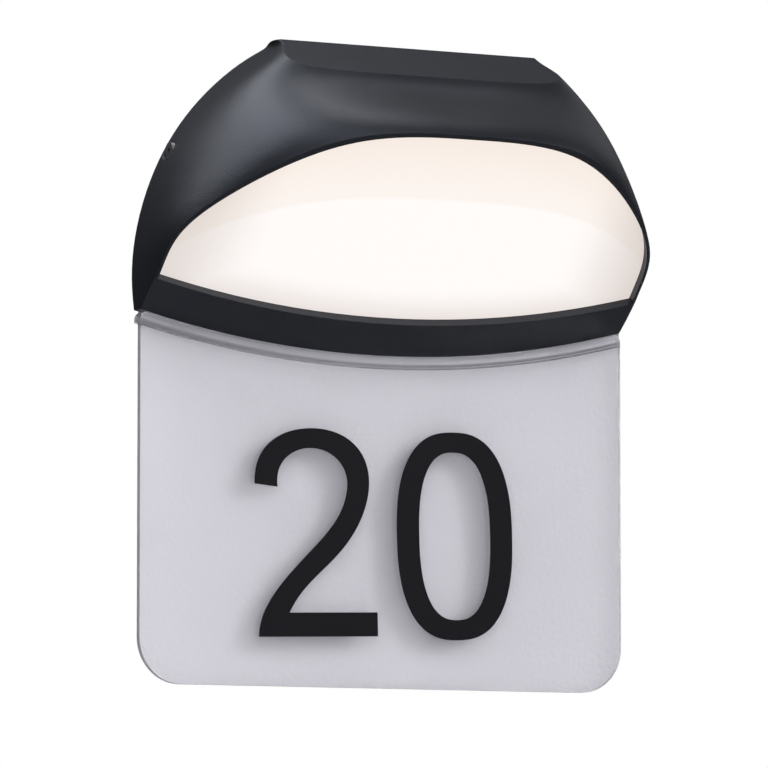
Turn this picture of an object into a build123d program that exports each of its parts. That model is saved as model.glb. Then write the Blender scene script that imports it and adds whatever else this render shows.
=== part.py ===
from build123d import *
from functools import cache
from math import cos, pi, sin, sqrt
import os

os.makedirs("parts", exist_ok=True)

# An illuminated house number sign for a wall. A cast hood with an eye-shaped opal window
# lights a clear plate with two numerals that hangs under its chin.
#
# X runs to the viewer's right, Y into the wall and Z up. The wall is the plane Y = 0, so a
# depth is a distance out of the wall, along -Y. While a piece is drawn, its heights are
# measured from the line through the two corners of the eye. save() then lowers the whole
# sign, so that Z = 0 is the line of the bracket's wall screws.

# ---- Head: outer form ----
arch_half_width = 119.4  # where the head meets the wall, at the eye's corners
arch_height = 119.0  # of the full arch, before the roof cuts it flat
skirt = 30.0  # the form is drawn this far below the eye's corners, then trimmed
cheek_depth = 93.7  # of the full form at the eye's corners
brow_height = 33.0
brow_depth = 78.3
eye_top_depth = 92.4
eye_top_height = 59.7
crown_height = 75.0
facet_front_depth = 55.6  # slanted facet between the hood and the roof
facet_front_height = 89.8
facet_back_depth = 31.0
roof_height = 105.5
roof_flare = 13.6  # how much wider the roof grows towards its front
flare_loss = 3.0  # of the flare for each millimetre of inset, to keep the wall whole under the lip
sill_depth = 19.6  # middle of the eye's lower edge
sill_drop = 15.2
chin_depth = 5.0  # middle of the chin's lower edge
chin_drop = 27.8
eye_radius = 838.0  # the eye's face, the chin and the foot are each part of a wide cylinder
sill_radius = 581.0  # of the eye's lower edge, seen square to the eye
chin_radius = 740.0
foot_radius = 469.0
cheek_squareness = 2.6  # how far a level slice of the head is from an ellipse, which is 2
brow_squareness = 3.5
lid_squareness = 2.6
crown_squareness = 3.5
facet_squareness = 6.5

# ---- Head: walls and seats ----
wall = 2.6
eye_rim = 1.4  # the hood's edge round the eye, where the pocket for the diffuser thins the wall
ledge_width = 4.0  # ring inside the eye that the diffuser is set on
ledge_thickness = 3.0
lens_thickness = 3.0
lens_recess = 4.1
lens_seal = 1.2
running_gap = 0.3  # between curved faces of pieces that part
seal_inset = 0.6
seal_width = 2.2
seal_thickness = 1.0

# ---- Cuts and clearances ----
beyond = 400.0  # reaches past the whole sign, for a cut or a block that another form trims
past = 1.0  # how far a cut runs past the face that it opens
slip = 0.1  # round a screw in a piece that it holds
blind_gap = 0.5  # left under the end of a screw in a blind hole

# ---- Pan-head screws, as shares of the thread's size or of the head's height ----
pan_height_share = 0.62
pan_radius_share = 0.95
pan_rounding_share = 0.45
pan_drive_share = 0.28
pan_drive_depth_share = 0.55

# ---- Wall bracket ----
bracket_height = 57.0  # of the wall screws and the side screws over the eye's corners
bracket_thickness = 2.0
bracket_half_width = 93.0
strip_width = 22.0
centre_width = 70.0
centre_height = 48.0
centre_corner = 6.0
wall_screw_spacing = 120.0
wall_screw_hole = 5.0
lug_depth = 14.0
cable_hole = 20.0
bush_collar = 26.0
bush_collar_thickness = 3.0
bush_bore = 8.5
bush_rounding = 1.2
earth_offset = 24.0
earth_head_radius = 3.6
earth_head_height = 2.4
earth_slot_width = 0.9
earth_slot_depth = 1.0
washer_radius = 4.5
washer_thickness = 1.0

# ---- Side screws ----
side_screw_depth = 7.0
side_screw = 4.0
side_screw_length = 18.0
side_head = 7.4
side_head_height = 2.4
side_drive_radius = 1.44
side_drive_depth = 1.44
side_seat = 102.3  # of the screw's head, from the middle of the sign
pad_height = 14.0
pad_depth = 13.0
nut_width = 7.0
nut_height = 3.2
nut_gap = 0.1

# ---- Number plate ----
plate_width = 237.0
plate_thickness = 3.0
plate_front = 8.4
plate_drop = 174.1
plate_corner = 20.0
plate_top_corner = 3.0
bead_height = 5.3
bead_back = 1.8
tongue_width = 170.0
tongue_back = 2.0
tongue_thickness = 3.0
tongue_top = -11.0
plate_screw_spacing = 120.0
plate_screw_height = -16.0
plate_screw = 3.0
plate_head_radius = 2.9
plate_head_height = 1.5
plate_drive_radius = 0.9
plate_drive_depth = 0.65
rail_depth = 6.0
rail_top = -9.0
rail_floor = 1.0  # left over the end of each tapped hole

# ---- Numerals ----
numeral_thickness = 0.6
numeral_tilt = 1.5  # they are stuck on by hand, a little off the level
outline_steps = 24  # of a squarish curve, here and in the head
two_grid_width = 60.0  # the two is drawn on this grid, then brought to its size
two_grid_height = 90.0
two_width = 58.3
two_height = 91.0
two_centre = (-33.2, -107.2)
zero_width = 57.2
zero_height = 91.8
zero_centre = (34.4, -106.4)
zero_squareness = 2.5
zero_side = 10.8
zero_cap = 8.9

# ---- Gear tray inside the head, flat and parallel to the eye ----
tray_back = 26.0  # of the tray's front, behind the eye's middle line
tray_thickness = 1.5
tray_gap = 1.0
tray_bottom = 10.0
lug_places = [(-104.0, 26.0), (104.0, 26.0), (-58.0, 76.0), (58.0, 76.0)]
lug_half = 6.0
lug_thickness = 6.0
tray_screw = 3.5
tray_screw_length = 7.0
board_width = 150.0
board_bottom = 24.0
board_top = 66.0
board_thickness = 1.6
chip_width = 3.5
chip_height = 2.8
chip_thickness = 0.8
chip_columns = 10
chip_rows = 2
chip_pitch = 14.0
chip_row_pitch = 24.0
board_screw = 3.0
board_screw_length = 5.0
board_screw_inset = 5.0
driver_half_width = 38.0
driver_bottom = 60.0
driver_top = 90.0
driver_thickness = 20.0
driver_corner = 2.5
driver_flange = 8.0
driver_flange_thickness = 2.5
terminal_width = 38.0
terminal_left = -52.0
terminal_bottom = 26.0
terminal_top = 44.0
terminal_thickness = 15.0
terminal_ways = 3
terminal_bore = 2.2  # radius of the lead entries and of the holes over their screws
terminal_bore_inset = 5.0
terminal_well_floor = 6.0  # over the tray, of the wells down to the leads
terminal_hole = 1.7
terminal_head_hole = 3.1
terminal_head_depth = 6.0
lead_radius = 1.0
lead_bend = 3.0
lead_height = 5.0  # of the leads' middle over the tray
lead_entry = 4.0
lead_hole_gap = 0.5
led_lead_places = (16.0, 24.0)
led_lead_up = 50.0
clamp_left = 14.0
clamp_width = 30.0
clamp_up = 35.0
clamp_depth = 9.0
clamp_height = 9.0
clamp_bore = 7.6

tray_rear = tray_back + tray_thickness
upright = (Align.CENTER, Align.CENTER, Align.MIN)


def save(name, *solids):
    """Write one node, lowered to the line of the wall screws."""
    lowered = [Pos(0, 0, -bracket_height) * solid for solid in solids]
    shape = lowered[0] if len(lowered) == 1 else Compound(children=lowered)
    export_step(shape, f"parts/{name}.step")


def box_between(low, high):
    """A box from its lowest to its highest corner."""
    size = [b - a for a, b in zip(low, high)]
    middle = [(a + b) / 2 for a, b in zip(low, high)]
    return Pos(*middle) * Box(*size)


def slab(near, deep):
    """Everything between two depths from the wall."""
    return box_between((-beyond, -deep, -beyond), (beyond, -near, beyond))


def along_x(side, start, end, radius, facets=0):
    """A round or hexagonal bar along X between two distances from the middle, on one side."""
    middle = Pos(side * (start + end) / 2, -side_screw_depth, bracket_height) * Rot(0, 90, 0)
    if facets:
        return middle * extrude(RegularPolygon(radius, facets), (end - start) / 2, both=True)
    return middle * Cylinder(radius, end - start)


def hood_depth(height):
    """Depth of the hood's straight middle line above the eye."""
    fall = (eye_top_depth - facet_front_depth) / (facet_front_height - eye_top_height)
    return eye_top_depth - fall * (height - eye_top_height)


def level_slice(height, depth, squareness, inset, flare=0.0):
    """The head's outline at one height, drawn in by an inset."""
    half = (arch_half_width - inset) * sqrt(1 - (height / (arch_height - inset)) ** 2)
    turns = [step / outline_steps for step in range(outline_steps + 1)]
    points = []
    for turn in turns:
        across, out = cos(pi * turn), sin(pi * turn)
        reach = (abs(across) ** squareness + abs(out) ** squareness) ** (-1 / squareness)
        width = half + flare * reach * out
        points.append((width * reach * across, -depth * reach * out, height))
    front = Edge.make_spline(points, parameters=turns)
    back = Edge.make_line(front @ 1, front @ 0)
    return Face(Wire([front, back]))


def bowl(plane, radius, inset):
    """The inside of a wide cylinder whose lowest line runs along a plane's own Y axis."""
    return plane * Pos(0, 0, -radius) * Rot(90, 0, 0) * Cylinder(radius - inset, 2 * beyond)


def slanted(depth, height, rise_depth, rise_height):
    """A plane at the middle of the head, with its Y axis along a rise and Z out of the head."""
    run = Vector(0, -rise_depth, rise_height).normalized()
    return Plane(origin=(0, -depth, height), x_dir=(1, 0, 0), z_dir=Vector(1, 0, 0).cross(run))


eye_plane = slanted(sill_depth, -sill_drop, eye_top_depth - sill_depth, eye_top_height + sill_drop)
chin_plane = slanted(chin_depth, -chin_drop, sill_depth - chin_depth, chin_drop - sill_drop)
foot_plane = slanted(0, -chin_drop, 1, 0)
sill_plane = Plane(origin=eye_plane.origin, x_dir=(1, 0, 0), z_dir=-eye_plane.y_dir)
facet_plane = slanted(
    facet_front_depth,
    facet_front_height,
    facet_back_depth - facet_front_depth,
    roof_height - facet_front_height,
)


@cache
def hood_form(inset=0.0):
    """The hood as one block, drawn in by an inset, before the chin and foot trim it."""
    lean = sqrt(1 + (hood_depth(0) - hood_depth(1)) ** 2)
    roof = roof_height - inset
    slices = [
        level_slice(-skirt, cheek_depth - inset, cheek_squareness, inset),
        level_slice(0, cheek_depth - inset, cheek_squareness, inset),
        level_slice(brow_height, brow_depth - inset, brow_squareness, inset),
        level_slice(eye_top_height, eye_top_depth - inset * lean, lid_squareness, inset),
        level_slice(crown_height, hood_depth(crown_height) - inset * lean, crown_squareness, inset),
        level_slice(
            facet_front_height, facet_front_depth - inset * lean, facet_squareness, inset
        ),
        level_slice(
            roof,
            hood_depth(roof) - inset * lean,
            facet_squareness,
            inset,
            roof_flare - flare_loss * inset,
        ),
    ]
    form = loft(slices)
    over_facet = facet_plane * Pos(0, 0, beyond / 2 - inset) * Box(beyond, beyond, beyond)
    return form - over_facet


@cache
def head_form(inset=0.0):
    """The head as one block without its eye, drawn in by an inset from every outer face."""
    form = hood_form(inset) & bowl(chin_plane, chin_radius, inset)
    return form & bowl(foot_plane, foot_radius, inset)


def eye_bowl(inset=0.0):
    """The inside of the eye's face, set back by an inset."""
    return bowl(eye_plane, eye_radius, inset)


def eye_band(front, back):
    """The layer between two depths behind the eye's face."""
    return eye_bowl(front) - eye_bowl(back)


@cache
def eye_column(inset=0.0, sill_inset=0.0):
    """The eye's outline, run straight back: inside the hood and above the sill."""
    return hood_form(inset) & bowl(sill_plane, sill_radius, sill_inset)


def on_eye(across, up, back):
    """A place measured from the middle of the sill: along X, up the eye, and back into the head."""
    return eye_plane * Pos(across, up, -back)


def eye_block(across, up, back):
    """A box with its ranges in the eye's own directions."""
    size = [high - low for low, high in (across, up, back)]
    middle = [(low + high) / 2 for low, high in (across, up, back)]
    return on_eye(*middle) * Box(*size)


def pin_on_eye(across, up, front, back, radius):
    """A round pin or hole that runs straight back from the eye's face."""
    return on_eye(across, up, (front + back) / 2) * Cylinder(radius, back - front)


@cache
def pan_screw(size, length):
    """A pan-head screw along Z, with its head below the seat Z = 0 and its shank above."""
    height = size * pan_height_share
    head = Pos(0, 0, -height) * Cylinder(size * pan_radius_share, height, align=upright)
    head = fillet(head.edges().group_by(Axis.Z)[0], height * pan_rounding_share)
    drive = Cylinder(size * pan_drive_share, height * pan_drive_depth_share, align=upright)
    return head + Cylinder(size / 2, length, align=upright) - Pos(0, 0, -height) * drive


def rear_screws(places, seat, size, length):
    """Pan-head screws behind a seat, driven towards the eye's face."""
    return [on_eye(across, up, seat) * pan_screw(size, length) for across, up in places]


def ring(outer_inset, inner_inset):
    """The head's form between two insets."""
    return head_form(outer_inset) - head_form(inner_inset)


# ---- Housing: one thin casting with a ledge round the eye, lugs, side pads and a rail ----
lens_seat = lens_recess + lens_thickness + lens_seal
ledge_back = lens_seat + ledge_thickness
window = eye_column(wall + ledge_width, ledge_width)
shell = head_form() & eye_bowl() & slab(seal_thickness, beyond)
shell -= head_form(wall)
inner_block = head_form(wall / 2) & slab(seal_thickness, beyond)
socket = eye_column(wall / 2, -wall) & inner_block & eye_band(wall / 2, ledge_back)
housing = shell + socket - window
housing -= eye_column(eye_rim) & eye_band(-lens_recess, lens_seat)

for across, up in lug_places:
    if up > board_top:
        sides = (across - lug_half, across + lug_half)
        rise = (up - lug_half, beyond)
    else:
        sides = (across - lug_half, beyond) if across > 0 else (-beyond, across + lug_half)
        rise = (up - lug_half, up + lug_half)
    housing += eye_block(sides, rise, (tray_back - lug_thickness, tray_back)) & inner_block

pad_face = bracket_half_width + running_gap
for side in (-1, 1):
    across = sorted((side * pad_face, side * beyond))
    pad = box_between(
        (across[0], -pad_depth, bracket_height - pad_height / 2),
        (across[1], -seal_thickness, bracket_height + pad_height / 2),
    )
    housing += pad & inner_block

tongue_front = tongue_back + tongue_thickness
rail_back = tongue_front + running_gap / 2
rail = box_between(
    (-tongue_width / 2, -rail_back - rail_depth, -skirt),
    (tongue_width / 2, -rail_back, rail_top),
)
housing += rail & inner_block
tongue_room = box_between(
    (-tongue_width / 2 - running_gap, -rail_back, -beyond),
    (tongue_width / 2 + running_gap, beyond, rail_top),
)
housing -= tongue_room
for across, up in lug_places:
    reach = tray_screw_length - tray_thickness + blind_gap
    housing -= pin_on_eye(across, up, tray_back - reach, tray_back, tray_screw / 2)
for side in (-1, 1):
    housing -= along_x(side, 0, arch_half_width, side_screw / 2 + running_gap)
    housing -= along_x(side, side_seat, beyond, side_head / 2 + running_gap)
    tapped = Pos(side * plate_screw_spacing / 2, -rail_back, plate_screw_height) * Rot(90, 0, 0)
    housing -= tapped * Cylinder(plate_screw / 2, 2 * (rail_depth - rail_floor))
save("housing", housing)

wall_gasket = ring(seal_inset, seal_inset + seal_width) & slab(0, seal_thickness)
wall_gasket -= tongue_room
save("wall_gasket", wall_gasket)

# ---- Opal diffuser, set into the eye from the front on a rubber ring ----
lens_outline = eye_column(eye_rim + running_gap, running_gap)
diffuser = lens_outline & eye_band(lens_recess, lens_recess + lens_thickness)
save("diffuser", diffuser)

diffuser_gasket = lens_outline - eye_column(
    wall + ledge_width - running_gap, ledge_width - running_gap
)
diffuser_gasket &= eye_band(lens_recess + lens_thickness, lens_seat)
save("diffuser_gasket", diffuser_gasket)

# ---- Gear tray and what it carries ----
tray = head_form(wall + tray_gap)
tray &= eye_block((-beyond, beyond), (tray_bottom, beyond), (tray_back, tray_rear))
for across, up in lug_places:
    tray -= pin_on_eye(
        across, up, tray_back - past, tray_rear + past, tray_screw / 2 + running_gap
    )
board_holes = [
    (across, up)
    for across in (
        -board_width / 2 + board_screw_inset,
        board_width / 2 - board_screw_inset,
    )
    for up in (board_bottom + board_screw_inset, board_top - board_screw_inset)
]
driver_middle = (driver_bottom + driver_top) / 2
driver_screw_across = driver_half_width + driver_flange / 2
driver_holes = [(-driver_screw_across, driver_middle), (driver_screw_across, driver_middle)]
terminal_right = terminal_left + terminal_width
terminal_middle = (terminal_bottom + terminal_top) / 2
terminal_pitch = terminal_width / terminal_ways
terminal_holes = [
    (terminal_left + terminal_pitch, terminal_middle),
    (terminal_right - terminal_pitch, terminal_middle),
]
clamp_holes = [
    (clamp_left + board_screw_inset, clamp_up),
    (clamp_left + clamp_width - board_screw_inset, clamp_up),
]
for across, up in board_holes + driver_holes + terminal_holes + clamp_holes:
    tray -= pin_on_eye(across, up, tray_back - past, tray_rear + past, board_screw / 2)
for across in led_lead_places:
    tray -= pin_on_eye(
        across, led_lead_up, tray_back - past, tray_rear + past, lead_radius + lead_hole_gap
    )
save("gear_tray", tray)

board_front = tray_back - board_thickness
board = eye_block(
    (-board_width / 2, board_width / 2), (board_bottom, board_top), (board_front, tray_back)
)
for across, up in board_holes:
    board -= pin_on_eye(across, up, board_front - past, tray_back + past, board_screw / 2 + slip)
save("led_board", board)

chips = []
for row in range(chip_rows):
    for column in range(chip_columns):
        across = (column - (chip_columns - 1) / 2) * chip_pitch
        up = (board_bottom + board_top) / 2 + (row - (chip_rows - 1) / 2) * chip_row_pitch
        chips.append(
            eye_block(
                (across - chip_width / 2, across + chip_width / 2),
                (up - chip_height / 2, up + chip_height / 2),
                (board_front - chip_thickness, board_front),
            )
        )
save("led_chips", *chips)

board_screws = [
    on_eye(across, up, board_front) * Rot(180, 0, 0) * pan_screw(board_screw, board_screw_length)
    for across, up in board_holes
]
save("board_screws", *board_screws)
save("tray_screws", *rear_screws(lug_places, tray_rear, tray_screw, tray_screw_length))

driver_rear = tray_rear + driver_thickness
driver = eye_block(
    (-driver_half_width, driver_half_width), (driver_bottom, driver_top), (tray_rear, driver_rear)
)
eye_axis = Axis(eye_plane.origin, eye_plane.z_dir)
driver = fillet(driver.edges().filter_by(eye_axis), driver_corner)
driver += eye_block(
    (-driver_half_width - driver_flange, driver_half_width + driver_flange),
    (driver_middle - driver_flange, driver_middle + driver_flange),
    (tray_rear, tray_rear + driver_flange_thickness),
)
for across, up in driver_holes:
    driver -= pin_on_eye(across, up, tray_rear - past, driver_rear + past, board_screw / 2 + slip)
save("led_driver", driver)
driver_seat = tray_rear + driver_flange_thickness
driver_screw_length = driver_flange_thickness + tray_thickness
save("driver_screws", *rear_screws(driver_holes, driver_seat, board_screw, driver_screw_length))

terminal_rear = tray_rear + terminal_thickness
terminal = eye_block(
    (terminal_left, terminal_right), (terminal_bottom, terminal_top), (tray_rear, terminal_rear)
)
terminal_floor = terminal_rear - terminal_head_depth
for way in range(terminal_ways):
    across = terminal_left + (way + 0.5) * terminal_pitch
    entry = on_eye(across, terminal_middle, tray_rear + lead_height) * Rot(90, 0, 0)
    terminal -= entry * Cylinder(terminal_bore, beyond)
    for up in (terminal_bottom + terminal_bore_inset, terminal_top - terminal_bore_inset):
        terminal -= pin_on_eye(
            across, up, tray_rear + terminal_well_floor, terminal_rear + past, terminal_bore
        )
for across, up in terminal_holes:
    terminal -= pin_on_eye(across, up, tray_rear - past, terminal_rear + past, terminal_hole)
    terminal -= pin_on_eye(across, up, terminal_floor, terminal_rear + past, terminal_head_hole)
save("terminal_block", terminal)
terminal_screw_length = terminal_floor - tray_back
save(
    "terminal_screws",
    *rear_screws(terminal_holes, terminal_floor, board_screw, terminal_screw_length),
)

lead_start = terminal_top - lead_entry
lead_middle = (lead_start + driver_bottom) / 2
mains_leads = []
for way in range(1, terminal_ways):
    across = terminal_left + (way + 0.5) * terminal_pitch
    lead = on_eye(across, lead_middle, tray_rear + lead_height) * Rot(90, 0, 0)
    mains_leads.append(lead * Cylinder(lead_radius, driver_bottom - lead_start))
save("mains_leads", *mains_leads)

led_leads = []
for across in led_lead_places:
    route = FilletPolyline(
        (across, driver_bottom, -tray_rear - lead_height),
        (across, led_lead_up, -tray_rear - lead_height),
        (across, led_lead_up, -tray_back),
        radius=lead_bend,
    )
    start = Plane(origin=route @ 0, z_dir=route % 0)
    lead = sweep(start * Circle(lead_radius), path=route)
    led_leads.append(eye_plane * lead)
save("led_leads", *led_leads)

# ---- Cable clamp: a bridge over the supply cable, screwed to the tray ----
clamp_right = clamp_left + clamp_width
clamp_rear = tray_rear + clamp_height
clamp = eye_block(
    (clamp_left, clamp_right),
    (clamp_up - clamp_depth / 2, clamp_up + clamp_depth / 2),
    (tray_rear, clamp_rear),
)
throat = on_eye(clamp_left + clamp_width / 2, clamp_up, tray_rear) * Rot(90, 0, 0)
clamp -= throat * Cylinder(clamp_bore / 2, beyond)
for across, up in clamp_holes:
    clamp -= pin_on_eye(across, up, tray_rear - past, clamp_rear + past, board_screw / 2 + slip)
save("cable_clamp", clamp)
clamp_screw_length = clamp_height + tray_thickness
save("clamp_screws", *rear_screws(clamp_holes, clamp_rear, board_screw, clamp_screw_length))

# ---- Side screws and their nuts, which grip the bracket's open lugs ----
side_screws = []
side_nuts = []
lug_inner = bracket_half_width - bracket_thickness
for side in (-1, 1):
    shank = along_x(side, side_seat - side_screw_length, side_seat, side_screw / 2)
    head = along_x(side, side_seat, side_seat + side_head_height, side_head / 2)
    top = side_seat + side_head_height
    recess = along_x(side, top - side_drive_depth, top, side_drive_radius, 6)
    side_screws.append(shank + head - recess)
    nut_end = lug_inner - nut_gap
    nut = along_x(side, nut_end - nut_height, nut_end, nut_width / sqrt(3), 6)
    side_nuts.append(nut - along_x(side, 0, arch_half_width, side_screw / 2))
save("side_screws", *side_screws)
save("side_nuts", *side_nuts)

# ---- Wall bracket: a pressed steel strip with an open lug bent forward at each end ----
strip = Rectangle(2 * bracket_half_width, strip_width)
centre = RectangleRounded(centre_width, centre_height, centre_corner)
blank = strip + centre - Circle(cable_hole / 2)
for side in (-1, 1):
    blank -= Pos(side * wall_screw_spacing / 2, 0) * Circle(wall_screw_hole / 2)
blank -= Pos(-earth_offset, strip_width / 2) * Circle(side_screw / 2)
wall_plane = Plane(origin=(0, 0, bracket_height), x_dir=(1, 0, 0), z_dir=(0, -1, 0))
bracket = wall_plane * extrude(blank, bracket_thickness)
for side in (-1, 1):
    across = sorted((side * lug_inner, side * bracket_half_width))
    lug = box_between(
        (across[0], -lug_depth, bracket_height - strip_width / 2),
        (across[1], 0, bracket_height + strip_width / 2),
    )
    bracket += lug
    slot = side_screw / 2 + running_gap
    bracket -= along_x(side, lug_inner - past, bracket_half_width + past, slot)
    bracket -= box_between(
        (across[0] - past, -lug_depth - past, bracket_height - slot),
        (across[1] + past, -side_screw_depth, bracket_height + slot),
    )
save("wall_bracket", bracket)

bush = Cylinder(cable_hole / 2, bracket_thickness, align=upright)
collar = Cylinder(bush_collar / 2, bush_collar_thickness, align=upright)
bush += Pos(0, 0, bracket_thickness) * fillet(collar.edges().group_by(Axis.Z)[-1], bush_rounding)
bush -= Cylinder(bush_bore / 2, beyond)
save("cable_bush", wall_plane * bush)

earth_place = wall_plane * Pos(-earth_offset, strip_width / 2, 0)
washer = Cylinder(washer_radius, washer_thickness, align=upright)
washer = Pos(0, 0, bracket_thickness) * washer - Cylinder(side_screw / 2, beyond)
save("earth_washer", earth_place * washer)
earth_seat = bracket_thickness + washer_thickness
earth_screw = Cylinder(side_screw / 2, earth_seat, align=upright)
earth_screw += Pos(0, 0, earth_seat) * Cylinder(
    earth_head_radius, earth_head_height, align=upright
)
earth_slot = Box(2 * earth_head_radius, earth_slot_width, earth_slot_depth, align=upright)
earth_screw -= Pos(0, 0, earth_seat + earth_head_height - earth_slot_depth) * earth_slot
save("earth_screw", earth_place * earth_screw)

# ---- Number plate: clear sheet with a bead along its curved top and a tongue behind the chin ----
front_plane = Plane(origin=(0, 0, 0), x_dir=(1, 0, 0), z_dir=(0, -1, 0))
foot_centre = foot_radius - chin_drop


def under_arc(top_gap):
    """The tall area below the head's foot, from a gap under it to the plate's lower edge."""
    area = Pos(0, -plate_drop / 2) * Rectangle(plate_width, plate_drop)
    return area - Pos(0, foot_centre) * Circle(foot_radius + top_gap)


sheet = under_arc(running_gap)
corners = sheet.vertices().group_by(Axis.Y)
sheet = fillet(corners[0], plate_corner)
sheet = fillet(sheet.vertices().group_by(Axis.Y)[-1], plate_top_corner)
bead = sheet - under_arc(running_gap + bead_height)
plate_back = plate_front - plate_thickness
number_plate = front_plane * Pos(0, 0, plate_back) * extrude(sheet, plate_thickness)
number_plate += front_plane * Pos(0, 0, bead_back) * extrude(bead, plate_front - bead_back)
tongue = Pos(0, tongue_top - plate_drop / 2) * Rectangle(tongue_width, plate_drop)
tongue &= Pos(0, foot_centre) * Circle(foot_radius + bead_height / 2)
slot = plate_screw / 2 + running_gap
slot_run = tongue_top - plate_screw_height
for side in (-1, 1):
    place = Pos(side * plate_screw_spacing / 2, plate_screw_height)
    tongue -= place * Circle(slot)
    tongue -= place * Pos(0, slot_run / 2) * Rectangle(2 * slot, slot_run)
number_plate += front_plane * Pos(0, 0, tongue_back) * extrude(tongue, tongue_thickness)
save("number_plate", number_plate)

head_back = tongue_back - running_gap / 2 - plate_head_height
shank_start = head_back + plate_drive_depth
shank_length = rail_back + rail_depth - rail_floor - shank_start
plate_screws = []
for side in (-1, 1):
    place = front_plane * Pos(side * plate_screw_spacing / 2, plate_screw_height, 0)
    head = Pos(0, 0, head_back) * Cylinder(plate_head_radius, plate_head_height, align=upright)
    shank = Pos(0, 0, shank_start) * Cylinder(plate_screw / 2, shank_length, align=upright)
    drive = Pos(0, 0, head_back) * Cylinder(plate_drive_radius, plate_drive_depth, align=upright)
    plate_screws.append(place * (head + shank - drive))
save("plate_screws", *plate_screws)

# ---- Numerals: cut from black sheet and bonded to the front of the plate ----


def cut_numeral(outline, centre):
    """One numeral as a thin solid on the plate's front, turned a little off the level."""
    place = front_plane * Pos(*centre, plate_front) * Rot(0, 0, numeral_tilt)
    return place * extrude(outline, numeral_thickness)


def oval(width, height, squareness):
    """A closed squarish oval about the middle of the numeral zero."""
    points = []
    for step in range(outline_steps):
        turn = 2 * pi * step / outline_steps
        across, up = cos(turn), sin(turn)
        reach = (abs(across) ** squareness + abs(up) ** squareness) ** (-1 / squareness)
        points.append((width / 2 * reach * across, height / 2 * reach * up))
    return make_face(Spline(*points, periodic=True))


zero = oval(zero_width, zero_height, zero_squareness)
zero -= oval(zero_width - 2 * zero_side, zero_height - 2 * zero_cap, zero_squareness)
save("numeral_zero", cut_numeral(zero, zero_centre))

# The two's outline is drawn up and to the right of its grid's lower left corner.
outer_bowl = Spline((0, 65.9), (7.0, 82.9), (27.5, 90), (49.8, 83.6), (57.3, 67))
outer_flow = Spline((57.3, 67), (54.1, 53.5), (41.1, 35.8), (22.1, 19), (15.9, 10.4))
base_top = Line((15.9, 10.4), (60, 10.4))
base_end = Line((60, 10.4), (60, 0))
base = Line((60, 0), (0.6, 0))
inner_flow = Spline((0.6, 0), (1.8, 6.9), (10.2, 20.4), (30.2, 39.6), (44.3, 56.9), (46.5, 66))
inner_bowl = Spline((46.5, 66), (41.6, 76.8), (27.3, 81.4), (15.6, 77), (11.2, 64.6))
tip = Line((11.2, 64.6), (0, 65.9))
two = make_face(
    [outer_bowl, outer_flow, base_top, base_end, base, inner_flow, inner_bowl, tip]
)
two = Pos(-two_grid_width / 2, -two_grid_height / 2) * two
two = scale(two, (two_width / two_grid_width, two_height / two_grid_height, 1))
save("numeral_two", cut_numeral(two, two_centre))
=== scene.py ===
from math import cos, pi, radians, sin

import bmesh
import bpy
from mathutils import Matrix, Vector


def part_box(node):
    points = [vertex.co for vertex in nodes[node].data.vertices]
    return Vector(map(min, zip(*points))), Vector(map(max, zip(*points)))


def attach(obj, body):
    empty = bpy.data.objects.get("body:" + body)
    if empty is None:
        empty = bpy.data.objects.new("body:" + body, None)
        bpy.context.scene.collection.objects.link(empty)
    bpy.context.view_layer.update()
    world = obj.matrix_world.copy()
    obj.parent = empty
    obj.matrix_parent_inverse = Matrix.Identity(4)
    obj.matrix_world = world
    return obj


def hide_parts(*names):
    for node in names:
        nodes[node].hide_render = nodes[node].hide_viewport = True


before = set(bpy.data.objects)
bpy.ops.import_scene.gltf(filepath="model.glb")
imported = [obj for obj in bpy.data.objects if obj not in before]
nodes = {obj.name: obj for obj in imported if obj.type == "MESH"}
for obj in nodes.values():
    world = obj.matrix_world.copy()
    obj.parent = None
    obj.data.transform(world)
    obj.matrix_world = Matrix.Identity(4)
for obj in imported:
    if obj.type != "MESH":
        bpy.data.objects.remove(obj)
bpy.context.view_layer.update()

# ---- Camera ----
# The sign is seen from a little left of the wall's normal and from just below it,
# through a long lens, so that its far side is hardly smaller than its near one.
view_target = Vector((0.00377, 0.0, -0.0965))
view_azimuth = radians(-27.19)
view_elevation = radians(-5.215)
view_distance = 2.7458
view_back = Vector((
    sin(view_azimuth) * cos(view_elevation),
    -cos(view_azimuth) * cos(view_elevation),
    sin(view_elevation),
))
camera_data = bpy.data.cameras.new("camera")
camera_data.sensor_width = 36.0
camera_data.lens = 291.8
camera_data.clip_start = 0.1
camera_data.clip_end = 50.0
camera = bpy.data.objects.new("camera", camera_data)
camera.location = view_target + view_back * view_distance
camera.rotation_euler = (-view_back).to_track_quat("-Z", "Y").to_euler()
bpy.context.collection.objects.link(camera)
bpy.context.scene.camera = camera
bpy.context.scene.view_settings.view_transform = "Standard"


# ---- Wall bracket ----
# The bracket is a pressed strip of galvanised steel, screwed flat to the wall.
# Its zinc has large dull crystals, and its bent lugs carry the side screws.
def put(tree, socket, value):
    """Sets a socket to a number or a colour, or links another node's output to it."""
    if isinstance(value, bpy.types.NodeSocket):
        tree.links.new(value, socket)
    else:
        socket.default_value = value


def calc(tree, operation, *values):
    """The result of a maths node."""
    node = tree.nodes.new("ShaderNodeMath")
    node.operation = operation
    for socket, value in zip(node.inputs, values):
        put(tree, socket, value)
    return node.outputs[0]


def ramp(tree, value, low, high, start=0.0, end=1.0, kind="LINEAR"):
    """A number that goes from start to end while the value goes from low to high."""
    node = tree.nodes.new("ShaderNodeMapRange")
    node.interpolation_type = kind
    names = ("Value", "From Min", "From Max", "To Min", "To Max")
    for name, given in zip(names, (value, low, high, start, end)):
        put(tree, node.inputs[name], given)
    return node.outputs["Result"]


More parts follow.
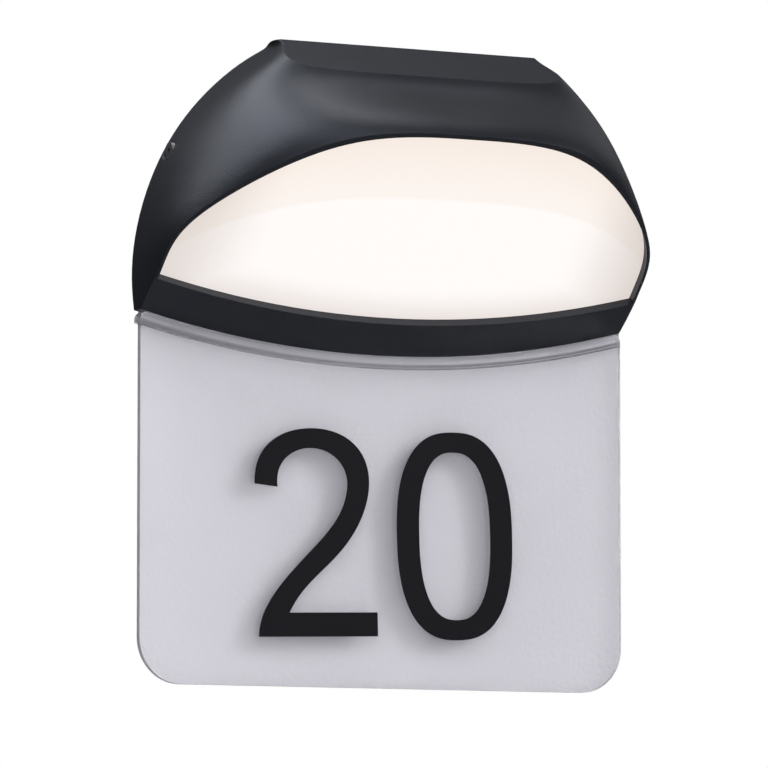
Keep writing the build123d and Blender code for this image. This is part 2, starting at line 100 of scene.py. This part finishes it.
def blend(tree, first, second, factor, kind="MIX"):
    """Two colours in one."""
    node = tree.nodes.new("ShaderNodeMix")
    node.data_type = "RGBA"
    node.blend_type = kind
    for name, given in (("Factor", factor), ("A", first), ("B", second)):
        put(tree, node.inputs[name], given)
    return node.outputs["Result"]


def noise(tree, place, scale, detail=2.0):
    """A cloudy value between 0 and 1 at a place."""
    node = tree.nodes.new("ShaderNodeTexNoise")
    for name, given in (("Vector", place), ("Scale", scale), ("Detail", detail)):
        put(tree, node.inputs[name], given)
    return node.outputs["Fac"]


def relief(tree, height, strength, distance):
    """A node whose normal is tilted by a height."""
    node = tree.nodes.new("ShaderNodeBump")
    for name, given in (("Height", height), ("Strength", strength), ("Distance", distance)):
        put(tree, node.inputs[name], given)
    return node


def rounded(tree, radius):
    """A normal that rounds the edges off."""
    node = tree.nodes.new("ShaderNodeBevel")
    node.samples = 6
    node.inputs["Radius"].default_value = radius
    return node.outputs["Normal"]


def blank(name):
    """A new material, its tree and its shader."""
    material = bpy.data.materials.new(name)
    material.use_nodes = True
    return material, material.node_tree, material.node_tree.nodes["Principled BSDF"]


def surface_grain():
    """One group for every finish: a slow mottle as its tone, a fine, even grain as its height.

    The tone is 1 in the middle of the mottle, and Mottle is its whole swing.
    """
    group = bpy.data.node_groups.new("surface_grain", "ShaderNodeTree")
    socket = group.interface.new_socket
    for name, start in (("Grain Size", 0.0004), ("Mottle Size", 0.02), ("Mottle", 0.1)):
        socket(name, in_out="INPUT", socket_type="NodeSocketFloat").default_value = start
    for name in ("Tone", "Height"):
        socket(name, in_out="OUTPUT", socket_type="NodeSocketFloat")
    given = group.nodes.new("NodeGroupInput").outputs
    result = group.nodes.new("NodeGroupOutput").inputs
    place = group.nodes.new("ShaderNodeTexCoord").outputs["Object"]
    grain = noise(group, place, calc(group, "DIVIDE", 1.0, given["Grain Size"]))
    mottle = noise(group, place, calc(group, "DIVIDE", 1.0, given["Mottle Size"]), detail=3.0)
    darkest = calc(group, "MULTIPLY_ADD", given["Mottle"], -0.5, 1.0)
    tone = calc(group, "MULTIPLY_ADD", mottle, given["Mottle"], darkest)
    group.links.new(tone, result["Tone"])
    group.links.new(grain, result["Height"])
    return group


grain_group = surface_grain()


def finish(
    name,
    color,
    roughness,
    grain,
    bump,
    mottle=0.2,
    mottle_size=0.02,
    metallic=0.0,
    wear=0.06,
    edge=0.0,
):
    """A finish with the shared grain: the mottle tones its colour, the grain its gloss and relief.

    Wear is how far the roughness strays to either side, and edge the radius of rounded edges.
    """
    material, tree, shader = blank(name)
    shader.inputs["Metallic"].default_value = metallic
    cover = tree.nodes.new("ShaderNodeGroup")
    cover.node_tree = grain_group
    for socket, given in (("Grain Size", grain), ("Mottle Size", mottle_size), ("Mottle", mottle)):
        cover.inputs[socket].default_value = given
    tint = blend(tree, (*color, 1.0), cover.outputs["Tone"], factor=1.0, kind="MULTIPLY")
    tree.links.new(tint, shader.inputs["Base Color"])
    height = cover.outputs["Height"]
    polish = ramp(tree, height, 0.0, 1.0, start=roughness - wear, end=roughness + wear)
    tree.links.new(polish, shader.inputs["Roughness"])
    surface = relief(tree, height, bump, grain / 2)
    if edge:
        tree.links.new(rounded(tree, edge), surface.inputs["Normal"])
    tree.links.new(surface.outputs["Normal"], shader.inputs["Normal"])
    return material


def dress(node, material):
    """Gives a CAD node its finish in place of the plain one."""
    slots = nodes[node].data.materials
    slots.clear()
    slots.append(material)


galvanised = finish(
    "galvanised_steel", (0.50, 0.51, 0.52), roughness=0.42, grain=0.0007, bump=0.15,
    mottle=0.35, mottle_size=0.006, metallic=1.0, wear=0.12,
)
dress("wall_bracket", galvanised)

# ---- Cable bush ----
# A soft black rubber bush is pressed into the bracket's middle hole.
# The supply cable comes out of the wall through it.
rubber = finish(
    "bush_rubber", (0.022, 0.022, 0.023), roughness=0.62, grain=0.0005, bump=0.35,
    mottle=0.3, mottle_size=0.01,
)
dress("cable_bush", rubber)

# ---- Earth screw and washer ----
# The earth terminal is a brass screw and a plain brass washer on the strip.
# Both are bright, with a fine machined grain.
brass = finish(
    "brass", (0.72, 0.50, 0.22), roughness=0.30, grain=0.0003, bump=0.12,
    mottle_size=0.004, metallic=1.0,
)
dress("earth_screw", brass)
dress("earth_washer", brass)

# ---- Housing ----
# The hood is one thin aluminium casting, powder-coated in a fine anthracite texture.
# The coat rounds every edge of the casting a little.
powder_coat = finish(
    "powder_coat", (0.0062, 0.0070, 0.0092), roughness=0.42, grain=0.0005, bump=0.45,
    mottle=0.3, mottle_size=0.03, wear=0.07, edge=0.0007,
)
coat_shader = powder_coat.node_tree.nodes["Principled BSDF"]
coat_shader.inputs["Specular Tint"].default_value = (0.76, 0.83, 1.0, 1.0)
dress("housing", powder_coat)

# ---- Wall gasket ----
# A ring of closed-cell foam lies between the casting's back edge and the wall.
# It is dull and coarse, like any cut foam.
foam = finish(
    "gasket_foam", (0.045, 0.045, 0.048), roughness=0.85, grain=0.0009, bump=0.9,
    mottle=0.4, mottle_size=0.008,
)
dress("wall_gasket", foam)

# ---- Side screws, side nuts and plate screws ----
# Two stainless screws go through the cheeks into the bracket's lugs, with their heads at the
# bottom of a round counterbore, and two more clamp the number plate's tongue behind the chin.
stainless = finish(
    "stainless", (0.30, 0.30, 0.31), roughness=0.42, grain=0.00025, bump=0.10,
    mottle=0.15, mottle_size=0.004, metallic=1.0,
)
dress("side_screws", stainless)
dress("side_nuts", stainless)
dress("plate_screws", stainless)


# ---- Diffuser ----
# The window is one opal acrylic sheet, lit from behind by the LED board.
# Its lower part is lit evenly; above a soft arched line it falls to a warmer cream,
# and along its sides and its sill its glow is painted darker, as shade where it sits in the hood's
# recess on the ledge.
def split(tree, vector):
    """The three parts of a vector."""
    node = tree.nodes.new("ShaderNodeSeparateXYZ")
    tree.links.new(vector, node.inputs[0])
    return node.outputs


def opal_finish():
    """Opal acrylic that glows in three tones: even, cream and a border darkened as painted shade.
    """
    even, cream, border_shade = (0.93, 0.89, 0.87, 1.0), (0.86, 0.76, 0.68, 1.0), (0.56, 0.49, 0.45, 1.0)
    arch_middle, arch_height, arch_bend = 0.005, -0.0222, -13.5
    line_low, line_high = -0.0004, 0.0012
    cream_start, cream_depth = 0.45, 0.034
    side_start, side_end, side_shade = 0.070, 0.116, 0.62
    sill_height, sill_bend, sill_depth, sill_shade = -0.0700, 1.1, 0.014, 0.40
    material, tree, shader = blank("opal_acrylic")
    shader.inputs["Base Color"].default_value = (0.16, 0.155, 0.15, 1.0)
    shader.inputs["Roughness"].default_value = 0.35
    place = tree.nodes.new("ShaderNodeTexCoord").outputs["Object"]
    spot = split(tree, place)
    across, height = spot["X"], spot["Z"]

    from_middle = calc(tree, "ABSOLUTE", calc(tree, "SUBTRACT", across, arch_middle))
    cubed = calc(tree, "POWER", from_middle, 3.0)
    arch = calc(tree, "MULTIPLY_ADD", cubed, arch_bend, arch_height)
    over_arch = calc(tree, "SUBTRACT", height, arch)
    upper = ramp(tree, over_arch, line_low, line_high, kind="SMOOTHSTEP")
    fade = ramp(tree, over_arch, 0.0, cream_depth, start=cream_start, kind="SMOOTHSTEP")
    glow = blend(tree, even, cream, calc(tree, "MULTIPLY", upper, fade))

    # Towards the sides and the sill the glow is painted darker with the border tone: painted shade
    # of the recess.
    from_centre = calc(tree, "ABSOLUTE", across)
    side = ramp(tree, from_centre, side_start, side_end, kind="SMOOTHSTEP")
    squared = calc(tree, "MULTIPLY", across, across)
    sill = calc(tree, "MULTIPLY_ADD", squared, sill_bend, sill_height)
    over_sill = calc(tree, "SUBTRACT", height, sill)
    foot = ramp(tree, over_sill, 0.0, sill_depth, start=1.0, end=0.0, kind="SMOOTHSTEP")
    side_part = calc(tree, "MULTIPLY", side, side_shade)
    foot_part = calc(tree, "MULTIPLY", foot, sill_shade)
    glow = blend(tree, glow, border_shade, calc(tree, "MAXIMUM", side_part, foot_part))
    tree.links.new(glow, shader.inputs["Emission Color"])
    shader.inputs["Emission Strength"].default_value = 1.0

    ripple = noise(tree, place, scale=90.0)
    surface = relief(tree, ripple, strength=0.04, distance=0.0004)
    tree.links.new(surface.outputs["Normal"], shader.inputs["Normal"])
    return material


dress("diffuser", opal_finish())

# ---- Diffuser gasket ----
# A ring of grey silicone lies on the ledge, behind the window's border.
# It is smooth, with next to no grain.
silicone = finish(
    "silicone", (0.30, 0.30, 0.31), roughness=0.5, grain=0.0005, bump=0.2,
    mottle=0.15, mottle_size=0.01,
)
dress("diffuser_gasket", silicone)

# ---- Gear tray ----
# The tray is a flat steel plate with a white stove finish, screwed to the hood's lugs.
# It throws the light forward and carries the board, the driver and the terminals.
white_enamel = finish(
    "white_enamel", (0.80, 0.80, 0.78), roughness=0.35, grain=0.0009, bump=0.12,
    mottle=0.06, mottle_size=0.03,
)
dress("gear_tray", white_enamel)

# ---- LED board ----
# The board is aluminium under a white solder mask. Twenty LED packages are soldered to it in
# two rows, each a white ceramic body with a yellow phosphor window and a tinned pad at each end.
board_white = finish(
    "board_white", (0.78, 0.79, 0.77), roughness=0.42, grain=0.0003, bump=0.08,
    mottle=0.06, mottle_size=0.01,
)
dress("led_board", board_white)


def solids_of(node):
    """The corner points of each separate solid of a CAD node, always in the same order."""
    touching = 1e-6
    work = bmesh.new()
    work.from_mesh(nodes[node].data)
    work.transform(nodes[node].matrix_world)
    bmesh.ops.remove_doubles(work, verts=work.verts, dist=touching)
    left, found = set(work.verts), []
    while left:
        reached, wave = set(), {left.pop()}
        while wave:
            reached |= wave
            wave = {edge.other_vert(v) for v in wave for edge in v.link_edges} - reached
        left -= reached
        found.append(sorted((v.co.copy() for v in reached), key=tuple))
    work.free()
    return sorted(found, key=lambda corners: tuple(corners[0]))


def repeater(parts):
    """A tree that sets copies of its parts on points, each turned at random about its axis."""
    tree = bpy.data.node_groups.new("repeat_on_points", "GeometryNodeTree")
    socket = tree.interface.new_socket
    socket("Geometry", in_out="INPUT", socket_type="NodeSocketGeometry")
    socket("Facing", in_out="INPUT", socket_type="NodeSocketVector")
    socket("Spin", in_out="INPUT", socket_type="NodeSocketFloat")
    for part in range(parts):
        socket(f"Part {part}", in_out="INPUT", socket_type="NodeSocketObject")
        socket(f"Finish {part}", in_out="INPUT", socket_type="NodeSocketMaterial")
    socket("Geometry", in_out="OUTPUT", socket_type="NodeSocketGeometry")
    add, link = tree.nodes.new, tree.links.new
    given, result = add("NodeGroupInput"), add("NodeGroupOutput")
    points = add("GeometryNodeMeshToPoints")
    link(given.outputs["Geometry"], points.inputs["Mesh"])
    # The node makes vectors too: input 3 and output 1 are the greatest number and the number.
    chance = add("FunctionNodeRandomValue")
    chance.inputs["Seed"].default_value = 7
    link(given.outputs["Spin"], chance.inputs[3])
    turn = add("ShaderNodeCombineXYZ")
    link(chance.outputs[1], turn.inputs["Z"])
    join = add("GeometryNodeJoinGeometry")
    for part in range(parts):
        shape = add("GeometryNodeObjectInfo")
        link(given.outputs[f"Part {part}"], shape.inputs["Object"])
        copies = add("GeometryNodeInstanceOnPoints")
        link(points.outputs["Points"], copies.inputs["Points"])
        link(shape.outputs["Geometry"], copies.inputs["Instance"])
        link(given.outputs["Facing"], copies.inputs["Rotation"])
        spun = add("GeometryNodeRotateInstances")
        link(copies.outputs["Instances"], spun.inputs["Instances"])
        link(turn.outputs["Vector"], spun.inputs["Rotation"])
        real = add("GeometryNodeRealizeInstances")
        link(spun.outputs["Instances"], real.inputs["Geometry"])
        coat = add("GeometryNodeSetMaterial")
        link(real.outputs["Geometry"], coat.inputs["Geometry"])
        link(given.outputs[f"Finish {part}"], coat.inputs["Material"])
        link(coat.outputs["Geometry"], join.inputs["Geometry"])
    link(join.outputs["Geometry"], result.inputs["Geometry"])
    return tree


def repeat(node, places, facing, spin, parts):
    """One piece in place of a CAD node: copies of (mesh, material) parts on the places."""
    mesh = bpy.data.meshes.new(f"{node}_places")
    mesh.from_pydata(places, [], [])
    piece = bpy.data.objects.new(f"{node}_made", mesh)
    bpy.context.collection.objects.link(piece)
    tree = repeater(len(parts))
    copier = piece.modifiers.new("copies", "NODES")
    copier.node_group = tree
    named = {
        item.name: item.identifier
        for item in tree.interface.items_tree
        if item.in_out == "INPUT"
    }
    copier[named["Facing"]] = facing
    copier[named["Spin"]] = spin
    templates = []
    for number, (shape, material) in enumerate(parts):
        template = bpy.data.objects.new(f"{node}_part_{number}", shape)
        bpy.context.collection.objects.link(template)
        templates.append(template)
        copier[named[f"Part {number}"]] = template
        copier[named[f"Finish {number}"]] = material
    evaluated = piece.evaluated_get(bpy.context.evaluated_depsgraph_get())
    made = bpy.data.meshes.new_from_object(evaluated)
    piece.modifiers.clear()
    piece.data = made
    for template in templates:
        bpy.data.objects.remove(template)
    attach(piece, "head")
    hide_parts(node)
    return piece


def block(size, low, high, rounding):
    """A box on its Z axis between two heights, with its edges rounded."""
    work = bmesh.new()
    bmesh.ops.create_cube(work, size=1.0)
    for vertex in work.verts:
        x, y, z = vertex.co
        vertex.co = (x * size[0], y * size[1], low + (z + 0.5) * (high - low))
    bmesh.ops.bevel(
        work, geom=work.edges[:], offset=rounding, segments=2, profile=0.7, affect="EDGES"
    )
    mesh = bpy.data.meshes.new("block")
    work.to_mesh(mesh)
    work.free()
    return mesh


def turned(profile, segments):
    """A shape turned about Z from (radius, height) points that run from its foot to its top."""
    sharp = radians(32)
    points, faces = [], []
    for radius, height in profile:
        for step in range(segments):
            angle = 2 * pi * step / segments
            points.append((radius * cos(angle), radius * sin(angle), height))
    for ring in range(len(profile) - 1):
        for step in range(segments):
            here = ring * segments + step
            ahead = ring * segments + (step + 1) % segments
            faces.append((here, ahead, ahead + segments, here + segments))
    faces.append(tuple(reversed(range(segments))))
    faces.append(tuple(range(len(points) - segments, len(points))))
    mesh = bpy.data.meshes.new("turned")
    mesh.from_pydata(points, [], faces)
    mesh.shade_smooth()
    mesh.set_sharp_from_angle(angle=sharp)
    return mesh


flat = max(nodes["led_board"].data.polygons, key=lambda face: face.area)
board_out = (nodes["led_board"].matrix_world.to_3x3() @ flat.normal).normalized()
board_out = board_out if board_out.y < 0 else -board_out
along = Vector((1, 0, 0))
board_axes = Matrix((along, board_out.cross(along), board_out)).transposed()
led_facing = board_axes.to_euler()
led_half_height = 0.0004
led_places = []
for corners in solids_of("led_chips"):
    middle = sum(corners, Vector()) / len(corners)
    led_places.append(middle - board_out * led_half_height)
ceramic = finish(
    "led_ceramic", (0.74, 0.73, 0.70), roughness=0.38, grain=0.00015, bump=0.1,
    mottle=0.06, mottle_size=0.001,
)
phosphor = finish(
    "led_phosphor", (0.78, 0.60, 0.05), roughness=0.5, grain=0.0001, bump=0.5,
    mottle=0.25, mottle_size=0.0008,
)
tin = finish(
    "tinned_pad", (0.66, 0.66, 0.65), roughness=0.34, grain=0.0002, bump=0.3,
    mottle_size=0.001, metallic=1.0,
)
ceramic_shape = block((3.2e-3, 2.7e-3), low=0.05e-3, high=0.72e-3, rounding=0.08e-3)
window_profile = [
    (1.20e-3, 0.60e-3),
    (1.20e-3, 0.72e-3),
    (1.12e-3, 0.765e-3),
    (0.8e-3, 0.785e-3),
    (0.3e-3, 0.795e-3),
]
window_shape = turned(window_profile, segments=24)
pad_shape = block((3.5e-3, 2.2e-3), low=0.0, high=0.22e-3, rounding=0.04e-3)
led_parts = [(ceramic_shape, ceramic), (window_shape, phosphor), (pad_shape, tin)]
led_packages = repeat("led_chips", led_places, led_facing, 0.0, led_parts)

# ---- Screws inside the head ----
# Zinc-plated pan-head screws with a cross recess hold the tray, the board, the driver, the
# terminal block and the clamp. Each was driven until tight, so no two crosses line up.
zinc = finish(
    "zinc_plate", (0.56, 0.57, 0.60), roughness=0.32, grain=0.0003, bump=0.12,
    mottle=0.25, mottle_size=0.003, metallic=1.0,
)


def pan_screw(head_radius, head_height, shank_radius, length):
    """A pan-head screw with its head from Z = 0 up, a cross recess and a ringed thread below."""
    pitch = shank_radius * 0.42
    root = shank_radius - shank_radius * 0.16
    tip_radius, tip_top = shank_radius * 0.55, -length + shank_radius * 0.4
    rim, dome, dome_steps = 0.42, 0.58, 6
    flat_share = 0.15
    cross_reach, cross_width, cross_foot, cross_top = 1.05, 0.2, 0.42, 1.2
    profile = [(tip_radius, -length), (root, tip_top)]
    crest = tip_top + pitch / 2
    while crest < -pitch:
        profile += [(shank_radius, crest), (root, crest + pitch / 2)]
        crest += pitch
    profile += [(root, 0.0), (head_radius, 0.0), (head_radius, head_height * rim)]
    for step in range(1, dome_steps + 1):
        angle = pi / 2 * step / dome_steps
        profile.append((
            head_radius - head_height * dome * (1 - cos(angle)),
            head_height * (rim + dome * sin(angle)),
        ))
    profile.append((head_radius * flat_share, head_height))
    body = bpy.data.objects.new("pan_screw", turned(profile, segments=40))
    bpy.context.collection.objects.link(body)
    cutters = []
    for turn in (0.0, pi / 2):
        arm = block(
            (head_radius * cross_reach, head_radius * cross_width),
            low=head_height * cross_foot,
            high=head_height * cross_top,
            rounding=1e-5,
        )
        cutter = bpy.data.objects.new("cross_arm", arm)
        cutter.rotation_euler.z = turn
        bpy.context.collection.objects.link(cutter)
        cut = body.modifiers.new("cross", "BOOLEAN")
        cut.operation = "DIFFERENCE"
        cut.object = cutter
        cutters.append(cutter)
    evaluated = body.evaluated_get(bpy.context.evaluated_depsgraph_get())
    mesh = bpy.data.meshes.new_from_object(evaluated)
    for helper in (body, *cutters):
        bpy.data.objects.remove(helper)
    return mesh


foot_slack = 1e-5
under_head = 1.2
for node in ("board_screws", "tray_screws", "driver_screws", "terminal_screws", "clamp_screws"):
    out = board_out if node == "board_screws" else -board_out
    facing = out.to_track_quat("Z", "Y").to_euler()
    seats = []
    for corners in solids_of(node):
        heights = [corner.dot(out) for corner in corners]
        low, high = min(heights), max(heights)
        ends = [c for c, height in zip(corners, heights) if height < low + foot_slack]
        foot = sum(ends, Vector()) / len(ends)
        across = [((c - foot) - out * (c - foot).dot(out)).length for c in corners]
        shank = max(a for a, height in zip(across, heights) if height < low + foot_slack)
        seat = min(height for a, height in zip(across, heights) if a > shank * under_head)
        seats.append(foot + out * (seat - low))
        sizes = (max(across), high - seat, shank, seat - low)
    screws = repeat(node, seats, facing, 2 * pi, [(pan_screw(*sizes), zinc)])

# ---- Driver, terminal block, leads and clamp ----
# The driver's case and the terminal block are pale moulded nylon, and the clamp is black.
# The leads have a glossy skin, brown on the supply's side and red on the board's.
driver_case = finish(
    "driver_case", (0.70, 0.70, 0.68), roughness=0.5, grain=0.0006, bump=0.3,
    mottle=0.08,
)
dress("led_driver", driver_case)
terminal_nylon = finish(
    "terminal_nylon", (0.74, 0.73, 0.69), roughness=0.38, grain=0.0004, bump=0.12,
    mottle=0.08, mottle_size=0.01,
)
dress("terminal_block", terminal_nylon)
for node, name, color in (
    ("mains_leads", "lead_brown", (0.16, 0.065, 0.03)),
    ("led_leads", "lead_red", (0.42, 0.025, 0.02)),
):
    skin = finish(
        name, color, roughness=0.35, grain=0.0004, bump=0.1,
        mottle=0.15, mottle_size=0.006,
    )
    dress(node, skin)
clamp_nylon = finish(
    "clamp_nylon", (0.03, 0.03, 0.03), roughness=0.45, grain=0.0004, bump=0.2,
    mottle_size=0.01,
)
dress("cable_clamp", clamp_nylon)

# ---- Number plate ----
# The plate is a cast sheet of clear acrylic with a bead along its curved top.
# It is polished, so that only its edges and the bead show.
bead_arc = 0.469
bead_top = -0.0848


def clear_finish():
    """Clear acrylic with a faint haze, and painted shade and light in lines along its bead."""
    material, tree, shader = blank("clear_acrylic")
    shader.inputs["Transmission Weight"].default_value = 1.0
    shader.inputs["IOR"].default_value = 1.49
    place = tree.nodes.new("ShaderNodeTexCoord").outputs

    # Its narrow faces are a little see-through, and it throws only a faint shadow.
    narrow, broad, narrow_body = 0.35, 0.75, 0.66
    shadow = 0.08
    facing = calc(tree, "ABSOLUTE", split(tree, place["Normal"])["Y"])
    body = ramp(tree, facing, narrow, broad, start=narrow_body)
    rays = tree.nodes.new("ShaderNodeLightPath").outputs
    casting = ramp(tree, rays["Is Shadow Ray"], 0.0, 1.0, start=1.0, end=shadow)
    tree.links.new(calc(tree, "MULTIPLY", body, casting), shader.inputs["Alpha"])

    # The haze drifts its colour and its polish. On the node that maps vectors, inputs 6, 9
    # and 10 are the vector, its lowest and its highest, and output 1 is the result.
    haze = noise(tree, place["Object"], scale=60.0)
    color = tree.nodes.new("ShaderNodeMapRange")
    color.data_type = "FLOAT_VECTOR"
    color.inputs[9].default_value = (0.955, 0.955, 0.97)
    color.inputs[10].default_value = (0.975, 0.975, 0.985)
    tree.links.new(haze, color.inputs[6])
    polish = ramp(tree, haze, 0.0, 1.0, start=0.01, end=0.03)
    tree.links.new(polish, shader.inputs["Roughness"])

    # Painted dark and pale lines follow the bead down from its upper edge: shade and light painted
    # into the colour where the bead bends what lies behind it.
    band_depth = 0.010
    painted_line_levels = (
        (0.10, 1.0),
        (0.33, 1.0),
        (0.38, 0.55),
        (0.46, 0.38),
        (0.50, 0.72),
        (0.55, 0.42),
        (0.62, 0.9),
    )
    blueness = 1.01
    spot = split(tree, place["Object"])
    upright = tree.nodes.new("ShaderNodeCombineXYZ")
    tree.links.new(spot["X"], upright.inputs["X"])
    tree.links.new(spot["Z"], upright.inputs["Z"])
    radius = tree.nodes.new("ShaderNodeVectorMath")
    radius.operation = "DISTANCE"
    tree.links.new(upright.outputs[0], radius.inputs[0])
    radius.inputs[1].default_value = (0.0, 0.0, bead_arc + bead_top)
    depth = ramp(tree, radius.outputs["Value"], bead_arc, bead_arc + band_depth)
    lines = tree.nodes.new("ShaderNodeValToRGB")
    tree.links.new(depth, lines.inputs[0])
    stops = lines.color_ramp.elements
    stops[0].position, stops[0].color = 0.0, (0.62, 0.62, 0.63, 1.0)
    stops[1].position, stops[1].color = 1.0, (1.0, 1.0, 1.0, 1.0)
    for position, tone in painted_line_levels:
        stops.new(position).color = (tone, tone, tone * blueness, 1.0)
    painted_line_tones = lines.outputs["Color"]
    painted_color = blend(tree, color.outputs[1], painted_line_tones, factor=1.0, kind="MULTIPLY")
    tree.links.new(painted_color, shader.inputs["Base Color"])
    tree.links.new(rounded(tree, radius=0.0006), shader.inputs["Normal"])
    return material


dress("number_plate", clear_finish())

# ---- Numerals ----
# The two numerals are cut from thin black sheet and bonded to the plate's front.
# Their face is matt, with hardly a highlight.
numeral_black = finish(
    "numeral_black", (0.0125, 0.0122, 0.0160), roughness=0.62, grain=0.0003, bump=0.15,
    mottle=0.15,
)
numeral_shader = numeral_black.node_tree.nodes["Principled BSDF"]
numeral_shader.inputs["Specular IOR Level"].default_value = 0.12
dress("numeral_two", numeral_black)
dress("numeral_zero", numeral_black)


# ---- Wall, floor and light ----
# A patch of pale plaster lies behind the clear plate, and a pale floor below the sign.
# Neither shows from behind.
def stage_piece(name, points, faces, material):
    """A surface of the stage, which isn't part of the sign."""
    mesh = bpy.data.meshes.new(name)
    mesh.from_pydata(points, [], faces)
    piece = bpy.data.objects.new(name, mesh)
    bpy.context.collection.objects.link(piece)
    piece.data.materials.append(material)


def one_sided(tree, surface):
    """Lets a stage surface show only from its front."""
    facing = tree.nodes.new("ShaderNodeNewGeometry")
    clear = tree.nodes.new("ShaderNodeBsdfTransparent")
    choose = tree.nodes.new("ShaderNodeMixShader")
    tree.links.new(facing.outputs["Backfacing"], choose.inputs[0])
    tree.links.new(surface, choose.inputs[1])
    tree.links.new(clear.outputs[0], choose.inputs[2])
    tree.links.new(choose.outputs[0], tree.nodes["Material Output"].inputs["Surface"])


plaster, tree, shader = blank("pale_plaster")
shader.inputs["Base Color"].default_value = (0.51, 0.50, 0.535, 1.0)
shader.inputs["Roughness"].default_value = 0.9
place = tree.nodes.new("ShaderNodeTexCoord").outputs["Object"]
trowel = noise(tree, place, scale=420.0, detail=4.0)
trowelled = relief(tree, trowel, strength=0.5, distance=0.0006)
tree.links.new(trowelled.outputs["Normal"], shader.inputs["Normal"])
one_sided(tree, shader.outputs[0])

# The patch has the plate's outline, a little to its right, as the plate stands off the wall
# and is seen from the left. It is made of upright strips, the narrowest at its ends.
low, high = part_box("number_plate")
left_shift, right_shift = 0.0028, 0.0043
patch_corner = 0.020
patch_foot = low.z + 0.0005
patch_top = -0.0818
patch_off_wall = 0.0004
columns = 60
points, quads = [], []
for step in range(columns + 1):
    across = low.x + (high.x - low.x) * (1 - cos(pi * step / columns)) / 2
    past_corner = max(0.0, abs(across) - (high.x - patch_corner))
    rise = patch_corner - max(0.0, patch_corner ** 2 - past_corner ** 2) ** 0.5
    sag = bead_arc - (bead_arc ** 2 - across ** 2) ** 0.5
    shifted = across + (left_shift if across < 0 else right_shift)
    points += [
        (shifted, patch_off_wall, patch_foot + rise),
        (shifted, patch_off_wall, patch_top + sag),
    ]
for first in range(0, 2 * columns, 2):
    quads.append((first, first + 2, first + 3, first + 1))
stage_piece("plaster_patch", points, quads, plaster)

# The floor and the world look pale to the camera, but throw little light on the sign.
pale, tree, shader = blank("pale_floor")
shader.inputs["Base Color"].default_value = (0.45, 0.45, 0.46, 1.0)
shader.inputs["Roughness"].default_value = 0.9
shader.inputs["Emission Color"].default_value = (1.0, 1.0, 1.0, 1.0)
rays = tree.nodes.new("ShaderNodeLightPath").outputs
shown = calc(tree, "MAXIMUM", rays["Is Camera Ray"], rays["Is Transmission Ray"])
glow = ramp(tree, shown, 0.0, 1.0, end=0.78)
tree.links.new(glow, shader.inputs["Emission Strength"])
one_sided(tree, shader.outputs[0])
reach, level = 4, -0.9
turns = ((-1, -1), (1, -1), (1, 1), (-1, 1))
floor_corners = [(reach * x, reach * y, level) for x, y in turns]
stage_piece("floor", floor_corners, [(0, 1, 2, 3)], pale)

world = bpy.data.worlds.new("studio")
bpy.context.scene.world = world
world.use_nodes = True
tree = world.node_tree
rays = tree.nodes.new("ShaderNodeLightPath").outputs
shown = ramp(tree, rays["Transmission Depth"], 0.0, 1.0, end=0.55)
for ray in ("Is Camera Ray", "Is Transmission Ray"):
    shown = calc(tree, "MAXIMUM", shown, rays[ray])
dim, white = (0.07, 0.07, 0.073, 1.0), (1.0, 1.0, 1.0, 1.0)
tree.links.new(blend(tree, dim, white, shown), tree.nodes["Background"].inputs["Color"])


def softbox(name, place, aim, size, power):
    """A rectangular lamp that points at its aim."""
    light = bpy.data.lights.new(name, "AREA")
    light.shape = "RECTANGLE"
    light.size, light.size_y = size
    light.energy = power
    lamp = bpy.data.objects.new(name, light)
    lamp.location = place
    lamp.rotation_euler = (Vector(aim) - Vector(place)).to_track_quat("-Z", "Y").to_euler()
    bpy.context.collection.objects.link(lamp)


hood_aim, plate_aim = (0, -0.03, 0), (0, 0, -0.12)
softbox("key", (-0.72, 0.15, 1.15), hood_aim, size=(1.5, 0.9), power=20)
softbox("sky", (0.16, 0.14, 1.35), hood_aim, size=(0.6, 0.6), power=4.6)
softbox("right", (1.15, 0.42, 0.72), hood_aim, size=(0.8, 0.8), power=0.9)
softbox("front_right", (1.35, -1.45, 0.72), plate_aim, size=(0.55, 0.55), power=13)
softbox("front_high", (-0.2, -1.6, 1.4), plate_aim, size=(2.0, 0.9), power=12)
softbox("front", (-0.9, -2.2, 0.1), plate_aim, size=(1.2, 1.2), power=9)
